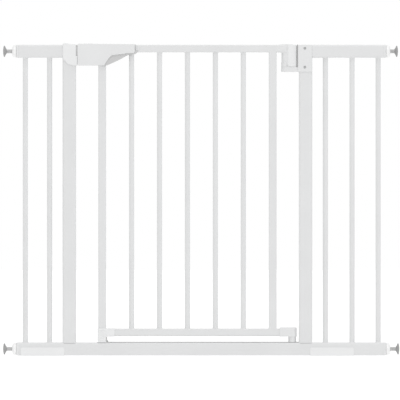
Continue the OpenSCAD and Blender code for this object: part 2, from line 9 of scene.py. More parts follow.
import bmesh
import bpy
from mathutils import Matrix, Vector


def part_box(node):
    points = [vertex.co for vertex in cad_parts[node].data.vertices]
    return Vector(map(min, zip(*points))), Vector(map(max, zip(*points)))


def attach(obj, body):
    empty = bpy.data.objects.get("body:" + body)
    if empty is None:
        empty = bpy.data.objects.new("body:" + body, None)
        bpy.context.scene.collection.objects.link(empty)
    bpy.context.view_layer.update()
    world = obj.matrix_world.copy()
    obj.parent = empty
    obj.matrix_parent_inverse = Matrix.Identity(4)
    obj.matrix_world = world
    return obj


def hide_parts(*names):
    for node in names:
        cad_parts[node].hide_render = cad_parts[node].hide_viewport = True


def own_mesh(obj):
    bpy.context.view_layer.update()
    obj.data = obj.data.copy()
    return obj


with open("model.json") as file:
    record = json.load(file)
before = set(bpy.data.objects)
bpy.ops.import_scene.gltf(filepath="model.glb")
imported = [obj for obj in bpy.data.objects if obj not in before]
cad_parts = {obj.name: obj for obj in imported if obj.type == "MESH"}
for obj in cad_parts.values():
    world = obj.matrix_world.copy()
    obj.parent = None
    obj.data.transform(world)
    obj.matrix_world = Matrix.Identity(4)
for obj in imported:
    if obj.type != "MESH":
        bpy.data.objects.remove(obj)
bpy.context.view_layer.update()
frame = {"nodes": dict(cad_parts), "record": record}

MM = 0.001
TAU = 2 * math.pi
WALL = 1.2      # wall of every steel tube


def span(node):
    """x0, x1, y0, y1, z0, z1 of a CAD node, in millimetres."""
    lo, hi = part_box(node)
    return [v / MM for pair in zip(lo, hi) for v in pair]


def middle(box, axis):
    """Middle of a box along an axis."""
    k = "xyz".index(axis) * 2
    return (box[k] + box[k + 1]) / 2


def longer(box, axis, low, high):
    """A box with its two ends along an axis moved outwards by low and high."""
    k = "xyz".index(axis) * 2
    return box[:k] + [box[k] - low, box[k + 1] + high] + box[k + 2:]


# ---------------------------------------------------------------- outlines and meshes


def arc(cx, cy, r, a0, a1, n=8):
    """Points on an arc round (cx, cy), from a0 to a1 degrees."""
    angles = [math.radians(a0 + (a1 - a0) * i / n) for i in range(n + 1)]
    return [(cx + r * math.cos(a), cy + r * math.sin(a)) for a in angles]


def round_rect(w, h, r, cx=0.0, cy=0.0):
    """Outline of a rectangle with rounded corners round (cx, cy)."""
    x, y = w / 2 - r, h / 2 - r
    return (arc(cx + x, cy + y, r, 0, 90) + arc(cx - x, cy + y, r, 90, 180)
            + arc(cx - x, cy - y, r, 180, 270) + arc(cx + x, cy - y, r, 270, 360))


def outline(corners, inset=0.0, n=6):
    """Points through corners given as (x, y, radius), the whole moved inwards by inset."""
    m = len(corners)
    area = sum(corners[i - 1][0] * corners[i][1] - corners[i][0] * corners[i - 1][1] for i in range(m))
    side = 1 if area > 0 else -1
    points = []
    for i in range(m):
        (px, py, _), (cx, cy, r), (qx, qy, _) = corners[i - 1], corners[i], corners[(i + 1) % m]
        u = Vector((cx - px, cy - py)).normalized()
        v = Vector((qx - cx, qy - cy)).normalized()
        inward_u, inward_v = Vector((-u.y, u.x)) * side, Vector((-v.y, v.x)) * side
        corner = Vector((cx, cy)) + (inward_u + inward_v) * (inset / (1 + inward_u.dot(inward_v)))
        bend = math.atan2(u.x * v.y - u.y * v.x, u.dot(v))
        hollow = bend * side < 0
        r = max(r + inset if hollow else r - inset, 0.05)
        start = corner - u * (r * math.tan(abs(bend) / 2))
        hub = start + Vector((-u.y, u.x)) * math.copysign(r, bend)
        arm = start - hub
        for k in range(n + 1):
            a = bend * k / n
            points.append((hub.x + arm.x * math.cos(a) - arm.y * math.sin(a),
                           hub.y + arm.x * math.sin(a) + arm.y * math.cos(a)))
    return points


PLACE = {"x": lambda a, b, t: (t, a, b), "y": lambda a, b, t: (a, t, b), "z": lambda a, b, t: (a, b, t)}


def stack(axis, rings, looped=False):
    """Mesh through rings given as (place along the axis, outline), with end caps, or with its
    last ring joined to the first if it is looped."""
    verts, faces, starts = [], [], []
    for t, ring in rings:
        starts.append(len(verts))
        verts += [PLACE[axis](a, b, t) for a, b in ring]
    n = len(rings[0][1])
    pairs = list(zip(starts, starts[1:])) + ([(starts[-1], starts[0])] if looped else [])
    for s, e in pairs:
        faces += [(s + i, s + (i + 1) % n, e + (i + 1) % n, e + i) for i in range(n)]
    if not looped:
        faces += [tuple(range(starts[0], starts[0] + n)), tuple(range(starts[-1], starts[-1] + n))]
    return verts, faces


def rims(t0, t1, rim0, rim1, steps=4):
    """(place, inset) pairs that round both ends of a solid from t0 to t1."""
    turns = [math.pi / 2 * k / steps for k in range(steps + 1)]
    low = [(t0 + rim0 * (1 - math.cos(a)), rim0 * (1 - math.sin(a))) for a in turns]
    high = [(t1 - rim1 * (1 - math.cos(a)), rim1 * (1 - math.sin(a))) for a in reversed(turns)]
    return (low if rim0 else [(t0, 0)]) + (high if rim1 else [(t1, 0)])


def pillow(axis, corners, t0, t1, rim0=1.0, rim1=None, n=6):
    """Solid of an outline of (a, b, radius) corners, with rounded rims at both ends."""
    levels = rims(t0, t1, rim0, rim0 if rim1 is None else rim1)
    return stack(axis, [(t, outline(corners, inset, n)) for t, inset in levels])


def box_corners(a0, a1, b0, b1, r, far_r=None):
    """Corners of a rectangle for an outline, with their own radius at a1 if it is given."""
    far = r if far_r is None else far_r
    return [(a0, b0, r), (a1, b0, far), (a1, b1, far), (a0, b1, r)]


def block(x0, x1, y0, y1, z0, z1, r=0.05, rim=0.0):
    """Box with rounded upright edges and, if asked, rounded top and bottom rims."""
    return pillow("z", box_corners(x0, x1, y0, y1, r), z0, z1, rim, n=2 if r < 0.2 else 5)


def tube(axis, box, r, soft0=0.5, soft1=0.5):
    """Rectangular tube that fills a box, rounded over at its ends by soft0 and soft1, or cut
    square where they are 0."""
    along, across, up = (0, 2, 4) if axis == "x" else (4, 0, 2)
    t0, t1 = box[along], box[along + 1]
    w, h = box[across + 1] - box[across], box[up + 1] - box[up]
    cx, cy = box[across] + w / 2, box[up] + h / 2
    skin = [(t, round_rect(w - 2 * g, h - 2 * g, r - g, cx, cy)) for t, g in rims(t0, t1, soft0, soft1, 3)]
    inner = round_rect(w - 2 * WALL, h - 2 * WALL, r - WALL, cx, cy)
    return stack(axis, skin + [(t1, inner), (t0, inner)], looped=True)


def lathe(axis, profile, a=0.0, b=0.0, n=48, looped=False, shape=None):
    """Solid of revolution of (radius, place) points round the axis through (a, b). A shape
    changes the radius with the angle."""
    angles = [TAU * i / n for i in range(n)]
    rings = []
    for r, t in profile:
        radii = [shape(r, w) if shape else r for w in angles]
        rings.append((t, [(a + q * math.cos(w), b + q * math.sin(w)) for q, w in zip(radii, angles)]))
    return stack(axis, rings, looped=looped)


def rod(axis, t0, t1, a, b, r, n=32):
    """Plain cylinder from t0 to t1 along an axis through (a, b)."""
    return lathe(axis, [(r, t0), (r, t1)], a, b, n)


def coil(x, z, r, wire, pitch, turns):
    """Wire wound round a vertical axis at (x, 0), upwards from z."""
    steps, sides = 24, 8
    verts = []
    for i in range(turns * steps + 1):
        a = TAU * i / steps
        for k in range(sides):
            b = TAU * k / sides
            q = r + wire * math.cos(b)
            verts.append((x + q * math.cos(a), q * math.sin(a), z + pitch * a / TAU + wire * math.sin(b)))
    faces = [tuple(reversed(range(sides))), tuple(range(len(verts) - sides, len(verts)))]
    for i in range(turns * steps):
        for k in range(sides):
            near, far = i * sides + k, i * sides + (k + 1) % sides
            faces.append((near, far, far + sides, near + sides))
    return verts, faces


def mirrored(mesh, sign, axis="x"):
    """The mesh itself or, for a negative sign, its mirror image across the axis's zero plane."""
    if sign > 0:
        return mesh
    k = "xyz".index(axis)
    return [tuple(-c if i == k else c for i, c in enumerate(v)) for v in mesh[0]], mesh[1]


def together(*meshes):
    """One mesh of several."""
    verts, faces = [], []
    for v, f in meshes:
        faces += [tuple(i + len(verts) for i in face) for face in f]
        verts += v
    return verts, faces


def raw(name, mesh):
    """A bare object of a mesh in millimetres, with its faces turned outwards."""
    data = bpy.data.meshes.new(name)
    data.from_pydata([tuple(c * MM for c in v) for v in mesh[0]], [], mesh[1])
    obj = bpy.data.objects.new(name, data)
    bpy.context.scene.collection.objects.link(obj)
    bm = bmesh.new()
    bm.from_mesh(data)
    bmesh.ops.remove_doubles(bm, verts=bm.verts, dist=1e-7)
    bmesh.ops.recalc_face_normals(bm, faces=bm.faces)
    bm.to_mesh(data)
    bm.free()
    return obj


def boolean(obj, operation, mesh):
    """Cut, join or intersect an object with a mesh."""
    tool = raw("tool", mesh)
    step = obj.modifiers.new("step", "BOOLEAN")
    step.operation, step.object, step.solver = operation, tool, "EXACT"
    depsgraph = bpy.context.evaluated_depsgraph_get()
    made = bpy.data.meshes.new_from_object(obj.evaluated_get(depsgraph))
    obj.modifiers.clear()
    old, obj.data = obj.data, made
    bpy.data.meshes.remove(old)
    bpy.data.objects.remove(tool)


def piece(name, mesh, material, body, nodes=(), keep=(), add=(), cut=(), crease=34):
    """A finished piece: mesh, then common, added and cut solids, its material, soft normals, and its ride."""
    obj = raw(name, mesh)
    for operation, tools in (("INTERSECT", keep), ("UNION", add), ("DIFFERENCE", cut)):
        for tool in tools:
            boolean(obj, operation, tool)
    obj.data.materials.clear()
    obj.data.materials.append(MATERIALS[material])
    for face in obj.data.polygons:
        face.use_smooth = True
    obj.data.set_sharp_from_angle(angle=math.radians(crease))
    normals = obj.modifiers.new("normals", "WEIGHTED_NORMAL")
    normals.keep_sharp = True
    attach(obj, body)
    if nodes:
        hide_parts(*nodes)
    return obj


# ---------------------------------------------------------------- materials


def mix_colour(nt, factor, a, b):
    """Colour a where the factor is 0 and b where it is 1. Each is a colour or a socket."""
    node = nt.nodes.new("ShaderNodeMix")
    node.data_type = "RGBA"
    for colour, socket in ((a, node.inputs[6]), (b, node.inputs[7])):
        if isinstance(colour, tuple):
            socket.default_value = (*colour, 1)
        else:
            nt.links.new(colour, socket)
    nt.links.new(factor, node.inputs[0])
    return node.outputs[2]


def noise(nt, scale, detail=3.0, stretch=None, low=0.35, high=0.65):
    """Noise in the piece's own frame, from 0 to 1, finer with a larger scale."""
    coords = nt.nodes.new("ShaderNodeTexCoord").outputs["Object"]
    if stretch:
        mapping = nt.nodes.new("ShaderNodeMapping")
        mapping.inputs["Scale"].default_value = stretch
        nt.links.new(coords, mapping.inputs["Vector"])
        coords = mapping.outputs["Vector"]
    node = nt.nodes.new("ShaderNodeTexNoise")
    node.inputs["Scale"].default_value = scale
    node.inputs["Detail"].default_value = detail
    nt.links.new(coords, node.inputs["Vector"])
    spread = nt.nodes.new("ShaderNodeMapRange")
    spread.inputs["From Min"].default_value, spread.inputs["From Max"].default_value = low, high
    nt.links.new(node.outputs["Fac"], spread.inputs["Value"])
    return spread.outputs["Result"]


def grey(v, tint=(0.0, 0.0, 0.0)):
    """A grey, or one with a slight tint added."""
    return tuple(v + t for t in tint)


def surface(name, colour, shade, roughness, grain, depth, metallic=0.0, specular=0.5,
            stretch=None, worn=None):
    """Procedural finish: a colour that drifts to a shade over patches, a fine grain in the bump,
    gloss between two roughnesses, and small spots of a worn colour if that is given."""
    patch = 12.0
    material = bpy.data.materials.new(name)
    material.use_nodes = True
    nt = material.node_tree
    shader = nt.nodes["Principled BSDF"]
    shader.inputs["Metallic"].default_value = metallic
    shader.inputs["Specular IOR Level"].default_value = specular
    mottled = mix_colour(nt, noise(nt, patch, 4.0), colour, shade)
    if worn:
        mottled = mix_colour(nt, noise(nt, patch * 9, 6.0, stretch, 0.66, 0.74), mottled, worn)
    nt.links.new(mottled, shader.inputs["Base Color"])
    gloss = nt.nodes.new("ShaderNodeMapRange")
    gloss.inputs["To Min"].default_value, gloss.inputs["To Max"].default_value = roughness
    nt.links.new(noise(nt, patch * 5, 3.0, stretch), gloss.inputs["Value"])
    nt.links.new(gloss.outputs["Result"], shader.inputs["Roughness"])
    bump = nt.nodes.new("ShaderNodeBump")
    bump.inputs["Strength"].default_value = 0.6
    bump.inputs["Distance"].default_value = depth * MM
    nt.links.new(noise(nt, grain, 2.0, stretch), bump.inputs["Height"])
    nt.links.new(bump.outputs["Normal"], shader.inputs["Normal"])
    return material


COOL = (-0.004, 0.0, 0.003)     # slight tint of the paint, the white plastics and the steel
SATIN = (0.46, 0.56)            # roughness of the smooth white plastics
MATERIALS = {
    "white_steel": surface("powder_coat", grey(0.745, COOL), grey(0.725, COOL), (0.40, 0.52), 520, 0.05),
    "white_plastic": surface("white_plastic", grey(0.765, COOL), grey(0.745, COOL), SATIN, 1500, 0.02),
    # bright_plastic is a lighter copy of the white plastic; on the hinge's barrel its lighter tone is painted
    # light from the right front
    "bright_plastic": surface("bright_plastic", grey(0.815, COOL), grey(0.80, COOL), SATIN, 1500, 0.02),
    "nut_plastic": surface("nut_plastic", grey(0.90), grey(0.88), (0.42, 0.52), 1500, 0.02),
    "grey_plastic": surface("grey_plastic", grey(0.60), grey(0.56), (0.45, 0.58), 1400, 0.03),
    "strike_grey": surface("strike_grey", grey(0.60), grey(0.56), (0.45, 0.58), 1400, 0.03),
    # liner_grey: a dark grey that is painted shade for the gap in the hinge
    "liner_grey": surface("liner_grey", grey(0.35), grey(0.32), (0.45, 0.58), 1400, 0.03),
    "dark_strip": surface("strip_rubber", grey(0.50), grey(0.46), (0.60, 0.75), 1100, 0.05, specular=0.35),
    "bare_steel": surface("zinc_steel", grey(0.50, COOL), grey(0.42, COOL), (0.28, 0.46), 900, 0.02,
                          metallic=1.0, stretch=(1.0, 1.0, 0.2), worn=(0.62, 0.62, 0.63)),
    "dark_steel": surface("thread_steel", grey(0.61), grey(0.56), (0.38, 0.55), 1200, 0.02,
                          metallic=0.3, worn=grey(0.62)),
    "grey_rubber": surface("foot_rubber", grey(0.37), grey(0.34), (0.62, 0.78), 1300, 0.05, specular=0.35),
}
slot_of = {part["node"]: part["material_slot"] for part in frame["record"]["subparts"]}
for node_name, node_object in frame["nodes"].items():
    node_object.data.materials.clear()
    node_object.data.materials.append(MATERIALS[slot_of[node_name]])

# ---------------------------------------------------------------- measures shared by the pieces

frame_r, door_r = 5.0, 3.0           # rounding of the frame's and of the door's tubes
pin_hole, pin_seat = 4.05, 4.0       # radii round the steel pins, where parts turn and where they hold
rod_hole, cross_hole = 3.5, 2.05     # radii round the lock rod and round the trigger's pin
post_l, post_r = span("post_latch"), span("post_hinge")
base = span("base_rail")
frame_x0, frame_x1, frame_half, base_top = base[0], base[1], base[3], base[5]
door_low, door_high = span("door_bottom_rail"), span("door_top_rail")
stile_l, stile_r = span("door_stile_latch"), span("door_stile_hinge")
door_half, gate_top = door_low[3], door_high[5]
handle = span("handle_front")
pivot_x, rod_x = middle(span("hinge_pin"), "x"), middle(stile_l, "x")
bolt_z = middle(span("latch_bolt"), "z")
trigger_pin = (span("handle_pins")[1] - 2, gate_top - 13.5)


def bolt_way(x0, x1, gap):
    """Opening for the bolt through the post, the cover or the plate."""
    return block(x0, x1, -5 - gap, 5 + gap, bolt_z - 3.5 - gap, bolt_z + 3.5 + gap)


def screw_set(name, body, places, y_face, r, way, depth):
    """Pan-head screws along Y, their faces at y_face and their shanks going the given way."""
    profile = [(0.01, 0), (r * 0.45, 0.03), (r * 0.72, 0.16), (r * 0.9, 0.42), (r, 0.85), (r, 1.2),
               (r * 0.55, 1.25), (r * 0.55, depth), (0.01, depth + 0.3)]
    arms = ((r * 0.62, r * 0.13), (r * 0.13, r * 0.62))
    slot_y = sorted((y_face - way * 0.5, y_face + way * 0.7))
    heads = [lathe("y", [(q, y_face + way * t) for q, t in profile], x, z, 32) for x, z in places]
    slots = [pillow("y", box_corners(x - a, x + a, z - b, z + b, 0.12), *slot_y, 0.05, n=2)
             for x, z in places for a, b in arms]
    piece(name, together(*heads), "bare_steel", body, [name], cut=slots)


# ---------------------------------------------------------------- frame and extensions

bush_r = 5.2
piece("base_rail", tube("x", base, frame_r, 0, 0), "white_steel", "frame", ["base_rail"],
      cut=[rod("z", base_top - 4, base_top + 4, pivot_x, 0, bush_r + 0.1),
           rod("z", base_top - 4, base_top + 4, rod_x, 0, rod_hole)])
sunk = 1.2      # the posts' lower ends are coped to the base rail's rounding
piece("post_latch", tube("z", longer(post_l, "z", sunk, 0), frame_r, 0), "white_steel", "frame",
      ["post_latch"], cut=[bolt_way(post_l[1] - 4, post_l[1] + 4, 1)])
piece("post_hinge", tube("z", longer(post_r, "z", sunk, 0), frame_r, 0), "white_steel", "frame",
      ["post_hinge"])

for side in ("left", "right"):
    for level in ("top", "bottom"):
        name = f"{side}_ext_{level}_rail"
        cope = frame_r if level == "top" else 0      # the top rails are coped to the posts' rounding
        if side == "left":
            shape = tube("x", longer(span(name), "x", 0, cope), frame_r, 0.3, 0)
        else:
            shape = tube("x", longer(span(name), "x", cope, 0), frame_r, 0, 0.3)
        piece(name, shape, "white_steel", "frame", [name])


def bar(name, body):
    """Round bar between two rails, with the paint running out over the welds."""
    box = span(name)
    r, wall, weld_w, weld_h, steps = (box[1] - box[0]) / 2, 0.9, 1.3, 2.4, 5
    lift = [(r + weld_w * (1 - k / steps) ** 2, weld_h * k / steps) for k in range(steps + 1)]
    skin = [(q, box[4] + t) for q, t in lift] + [(q, box[5] - t) for q, t in reversed(lift)]
    bore = [(r - wall, box[5]), (r - wall, box[4])]
    piece(name, lathe("z", skin + bore, middle(box, "x"), 0, 40, looped=True), "white_steel", body, [name])


for name in sorted(frame["nodes"]):
    if "_ext_bar_" in name:
        bar(name, "frame")
    elif name.startswith("door_bar_"):
        bar(name, "door")

# Cover on the latch post, with a lip towards the door. Its rim is soft except near that lip
cover = span("strike_housing")
cover_x0, cover_face, lip, cover_top = cover[0], post_l[1] - 0.1, cover[1] + 0.7, cover[5]
lip_z0, lip_z1, shoulder = gate_top - 50.7, gate_top - 27, gate_top + 1.4
skirt = [(cover_x0, gate_top - 34, 14), (cover_x0 + 13, gate_top - 47, 8), (cover_face - 7, lip_z0, 2),
         (lip, lip_z0, 1.5), (lip, lip_z1, 1), (cover_face, lip_z1, 0.3), (cover_face, shoulder, 3),
         (cover_x0 + 18, cover_top - 2.6, 8), (cover_x0 + 11, cover_top, 4), (cover_x0, cover_top, 5)]
crisp_x0 = cover_face - 10
crisp = [(crisp_x0, lip_z0, 3), (lip, lip_z0, 1.5), (lip, lip_z1, 1),
         (cover_face, lip_z1, 0.3), (cover_face, shoulder, 3), (crisp_x0, shoulder + 0.1, 1)]
piece("strike_housing", pillow("y", skirt, cover[2], cover[3], 2.3, n=8), "bright_plastic", "frame",
      ["strike_housing"], add=[pillow("y", crisp, cover[2], cover[3], 0.3)],
      cut=[block(frame_x0 - 1, post_l[1] + 0.1, -frame_half - 0.1, frame_half + 0.1, base_top, post_l[5]),
           bolt_way(lip - 16, lip + 5, 0.5)])
plate = span("strike_plate")
plate_plan = box_corners(cover[2] + 0.6, cover[3] - 0.6, plate[4], plate[5], 2)
piece("strike_plate", pillow("x", plate_plan, plate[0], plate[1], 0.2, 0.4), "strike_grey", "frame",
      ["strike_plate"], cut=[bolt_way(plate[0] - 3, plate[1] + 3, 0.5)])

# Dark strip with fine ribs, its upright stop lug, and the bush of the door's lower pin
strip = span("threshold_strip")
strip_half, rib_pitch = 8, 1.6
seat_z, rib_low, rib_top = base_top + 0.02, base_top + 0.9, base_top + 1.4
ribs = [(strip_half, seat_z, 0.1), (strip_half, rib_low, 0.3)]
for k in range(4, -5, -1):
    y = rib_pitch * k
    ribs += [(y + 0.62, rib_low, 0.1), (y + 0.5, rib_top, 0.15),
             (y - 0.5, rib_top, 0.15), (y - 0.62, rib_low, 0.1)]
ribs += [(-strip_half, rib_low, 0.3), (-strip_half, seat_z, 0.1)]
lug_x, lug_top = strip[0], strip[5]
lug = [(lug_x, seat_z, 0.2), (lug_x + 5.2, seat_z, 0.2), (lug_x + 4.6, base_top + 3, 1),
       (lug_x + 1.8, base_top + 6.4, 1.5), (lug_x + 1.8, lug_top, 0.8), (lug_x, lug_top, 0.8)]
piece("threshold_strip", pillow("x", ribs, lug_x + 0.6, strip[1], 0.05, n=2), "dark_strip", "frame",
      ["threshold_strip"], add=[pillow("y", lug, -6, 6, 0.5)],
      cut=[rod("z", base_top - 1, base_top + 3, pivot_x, 0, 9.8)])
bush = span("pivot_bush")
flange = (bush[1] - bush[0]) / 2
bush_profile = [(pin_hole, base_top - 10), (bush_r, base_top - 10), (bush_r, seat_z), (flange, seat_z),
                (flange, bush[5] - 0.4), (flange - 0.4, bush[5]), (4.6, bush[5]), (pin_hole, bush[5] - 0.5)]
piece("pivot_bush", lathe("z", bush_profile, pivot_x, 0, looped=True), "white_plastic", "frame",
      ["pivot_bush"])

# Hinge bracket: sleeve on the post, shelf under the knuckle, two screws in shallow seats
bracket, screws = span("hinge_bracket"), span("hinge_screws")
sleeve_x, sleeve_half = post_r[0] - 2.3, frame_half + 1.3
shelf_x0, shelf_half, shelf_r = bracket[0], 12.0, 11
shelf_z0, shelf_z1 = bracket[4], bracket[4] + 11.9
screw_x, screw_r = middle(screws, "x"), (screws[1] - screws[0]) / 2
screw_zs = (screws[5] - screw_r, screws[4] + screw_r)
screw_seat = [(2.4, -11), (2.4, 0.5 - sleeve_half), (3.6, 0.4 - sleeve_half), (3.9, -sleeve_half - 1)]
sleeve = box_corners(sleeve_x, bracket[1], shelf_z0, gate_top, 2, 3)
shelf = box_corners(shelf_x0, sleeve_x + 4, -shelf_half, shelf_half, shelf_r, 0.3)
piece("hinge_bracket", pillow("y", sleeve, -sleeve_half, sleeve_half, 0.4), "white_plastic", "frame",
      ["hinge_bracket"], add=[pillow("z", shelf, shelf_z0, shelf_z1, 1.8, 0.4, n=12)],
      cut=[block(post_r[0] - 0.1, frame_x1 + 1, -frame_half - 0.1, frame_half + 0.1, base_top,
                 post_r[5] + 0.1),
           rod("z", shelf_z0 - 3, shelf_z1 + 3, pivot_x, 0, pin_seat),
           rod("z", shelf_z0 - 3, shelf_z0 + 2.4, pivot_x, 0, 6.0)]
          + [lathe("y", screw_seat, screw_x, z) for z in screw_zs])

# Liner with a hollow face, in which the knuckle's square front corners turn. Its dark grey is painted shade,
# standing in for the shade of the gap between the knuckle and the bracket
liner = span("hinge_liner")
turning_r, turning_gap = 13.9, 0.1
liner_half = sleeve_half - 0.4
liner_plan = box_corners(-liner_half, liner_half, shelf_z1 + 0.02, liner[5] + 1, 1)
piece("hinge_liner", pillow("x", liner_plan, liner[0] + 1.3, liner[1], 0.2, 0.05), "liner_grey", "frame",
      ["hinge_liner"],
      cut=[rod("z", liner[4] - 1, liner[5] + 2, pivot_x, 0, turning_r + turning_gap, 96)])
screw_set("hinge_screws", "frame", [(screw_x, z) for z in screw_zs], screws[2] + 1.3, screw_r, 1, 6)

# U-shaped clips under the lower seams
clips = span("joint_clips")
clip_top, clip_half, clip_wall, clip_l = clips[5], clips[3], 0.8, 106
channel = [(-clip_half, 0, 1.4), (clip_half, 0, 1.4), (clip_half, clip_top, 0.3),
           (clip_half - clip_wall, clip_top, 0.3), (clip_half - clip_wall, clip_wall, 0.6),
           (clip_wall - clip_half, clip_wall, 0.6), (clip_wall - clip_half, clip_top, 0.3),
           (-clip_half, clip_top, 0.3)]
for side, start in (("left", frame_x0 + 4 - clip_l), ("right", frame_x1 - 5)):
    end = start + clip_l
    front = [(start, -1.5, 3), (end, -1.5, 3), (end, clip_top, 4), (start, clip_top, 4)]
    piece(f"joint_clip_{side}", pillow("x", channel, start, end, 0.3, n=3), "bright_plastic", "frame",
          ["joint_clips"] if side == "left" else (),
          keep=[pillow("y", front, -clip_half - 2, clip_half + 2, 0)])

# ---------------------------------------------------------------- spindles, feet and nuts

SPINDLE_R, LEAD, GROOVE = 5.0, 2.0, 0.75
NUT_R, NUT_H = 15.0, 10.0
spindle_hole = SPINDLE_R + 0.05


def reach(box):
    """Least and greatest distance along X from the gate's middle plane, and the box's side."""
    return *sorted((abs(box[0]), abs(box[1]))), (1 if box[1] > 0 else -1)


def thread(x0, x1, z):
    """Threaded rod along X at height z, with a real helical groove and chamfered ends."""
    sides, step, chamfer = 32, 0.25, 0.7
    count = round((x1 - x0) / step)
    rings = []
    for i in range(count + 1):
        x = x0 + (x1 - x0) * i / count
        end = min(x - x0, x1 - x, 1.0)
        ring = []
        for j in range(sides):
            w = TAU * j / sides
            phase = ((x - x0) / LEAD - w / TAU) % 1
            wave = min(max(abs(phase - 0.5) * 4 - 0.5, 0), 1)      # 1 on the crest, 0 in the groove
            q = SPINDLE_R - GROOVE * (1 - wave) - chamfer * (1 - end)
            ring.append((q * math.cos(w), z + q * math.sin(w)))
        rings.append((x, ring))
    return stack("x", rings)


def scalloped(r, angle):
    """Radius of the nut's grip at an angle: ten round hollows in its rim."""
    centre, hollow, pitch = 16.8, 2.8, TAU / 10
    off = (angle + pitch / 2) % pitch - pitch / 2
    inside = hollow ** 2 - (centre * math.sin(off)) ** 2
    return min(r, centre * math.cos(off) - math.sqrt(inside)) if inside > 0 else r


def dish(q):
    """How far a foot's outer face stands back from the wall at radius q."""
    return 0.05 + 1.9 * (q / 14) ** 1.6 + 0.8 * max(0, q - 12.6) / 1.4


def foot_profile(wall, r):
    """Foot with its neck at the spindle, its rim at radius r, and ring grooves in its dished face."""
    cup = [(0.01, wall - 8.5), (5.6, wall - 8.5), (6.4, wall - 8.3), (6.9, wall - 7.7), (7.4, wall - 7.0),
           (8.8, wall - 6.3), (10.6, wall - 5.7), (12.2, wall - 5.0), (13.3, wall - 4.2), (r, wall - 3.4)]
    cup += [(q, wall - dish(q)) for q in (r - 0.1, r - 0.4, r - 0.9, r - 1.6)]
    for groove in (11.4, 9.2, 7.0, 4.8):
        cup += [(groove + off, wall - dish(groove) - down)
                for off, down in ((0.5, 0), (0.2, 0.5), (-0.2, 0.5), (-0.5, 0))]
    return cup + [(2.5, wall - dish(2.5)), (0.01, wall - dish(0))]


def nut_profile(x0):
    """Nut from its scalloped grip at x0 to the narrow collar at its outer end."""
    x1 = x0 + NUT_H
    return [(spindle_hole, x0), (NUT_R - 1, x0), (NUT_R - 0.4, x0 + 0.2), (NUT_R, x0 + 0.8),
            (NUT_R, x0 + 5.0), (NUT_R - 0.3, x0 + 5.6), (12.3, x1 - 1.6), (11.5, x1 - 1.2),
            (9.4, x1 - 1.0), (9.0, x1 - 0.2), (8.6, x1), (5.5, x1), (spindle_hole, x1 - 0.4)]


for i in range(1, 5):
    foot = span(f"wall_pad_{i}")
    z, foot_r = middle(foot, "z"), (foot[5] - foot[4]) / 2
    near, far, sign = reach(span(f"spindle_{i}"))
    piece(f"spindle_{i}", mirrored(thread(near, far, z), sign), "dark_steel", f"spindle_{i}",
          [f"spindle_{i}"], crease=60)
    cup = lathe("x", foot_profile(reach(foot)[1], foot_r), 0, z, 64)
    piece(f"wall_pad_{i}", mirrored(cup, sign), "grey_rubber", f"spindle_{i}", [f"wall_pad_{i}"])
    grip = lathe("x", nut_profile(reach(span(f"adjust_nut_{i}"))[0]), 0, z, 120, looped=True,
                 shape=scalloped)
    piece(f"adjust_nut_{i}", mirrored(grip, sign), "nut_plastic", f"nut_{i}", [f"adjust_nut_{i}"])

# End plugs: a band at each rail's end, with the spindle's bore through it
plug_end, band, plug_rim = span("rail_end_plugs")[1], 6.0, 0.8
rail_h = span("left_ext_top_rail")[5] - span("left_ext_top_rail")[4]
levels = [(plug_end - band, 0.4), (plug_end - band + 0.15, 0.12), (plug_end - band + 0.4, 0)]
levels += rims(plug_end - 1, plug_end, 0, plug_rim, 5)
plugs, bores = [], []
for sign in (-1, 1):
    for level in ("top", "bottom"):
        z = middle(span(f"left_ext_{level}_rail"), "z")
        rings = [(t, round_rect(2 * (frame_half - g), rail_h - 2 * g, frame_r - g, 0, z)) for t, g in levels]
        stub = round_rect(2 * frame_half - 2.6, rail_h - 2.6, frame_r - WALL, 0, z)
        stubs = [(plug_end - 22, stub), (plug_end - band, stub)]
        plugs.append(mirrored(stack("x", stubs + rings), sign))
        bores.append(mirrored(rod("x", plug_end - 25, plug_end + 3, 0, z, spindle_hole), sign))
piece("rail_end_plugs", together(*plugs), "white_plastic", "frame", ["rail_end_plugs"], cut=bores)

# ---------------------------------------------------------------- door

piece("door_bottom_rail", tube("x", door_low, door_r), "white_steel", "door", ["door_bottom_rail"],
      cut=[rod("z", door_low[4] - 2, door_low[5] + 2, rod_x, 0, rod_hole)])
piece("door_top_rail", tube("x", door_high, door_r), "white_steel", "door", ["door_top_rail"],
      cut=[block(rod_x - 8, rod_x + 8, -7, 7, door_high[4] - 3, door_high[4] + 3),
           rod("y", -15, 15, trigger_pin[0], trigger_pin[1], cross_hole)])
crank_way = block(stile_l[0] - 1, stile_l[1] + 1, -3, 3, door_high[4] - 0.1, door_high[4] + 4)
for name, box, cuts in (("door_stile_latch", stile_l, [crank_way]), ("door_stile_hinge", stile_r, [])):
    # the stiles are coped to the rails' rounding
    piece(name, tube("z", longer(box, "z", door_r, door_r), door_r, 0, 0), "white_steel", "door", [name],
          cut=cuts)

# Handle housing: two shells that meet in the middle plane, hollow and open below for the trigger
hx0, hx1, hz0, hz1 = handle[0], handle[1], handle[4], handle[5]      # the housing's ends
housing = [(hx0, hz0, 3), (hx0, hz1, 4), (hx1, hz1 - 1.2, 2), (hx1, hz0 + 30.1, 4.5),
           (hx1 - 19.3, hz0 + 30.1, 3), (hx1 - 24.3, hz0 + 28.5, 10), (hx1 - 57, hz0 + 24.8, 8),
           (hx1 - 64.8, hz0 + 15.6, 30), (hx1 - 75, hz0, 1)]
crisp_end = [(hx0, hz0, 3), (hx0, hz1, 4), (hx0 + 9, hz1, 1), (hx0 + 9, hz0, 1)]
half, shell = handle[3] - handle[2], 2.2
bosses = [(hx0 + 7.5, hz0 + 8), (hx0 + 7.5, hz0 + 44.5), (hx0 + 36, hz0 + 8)]


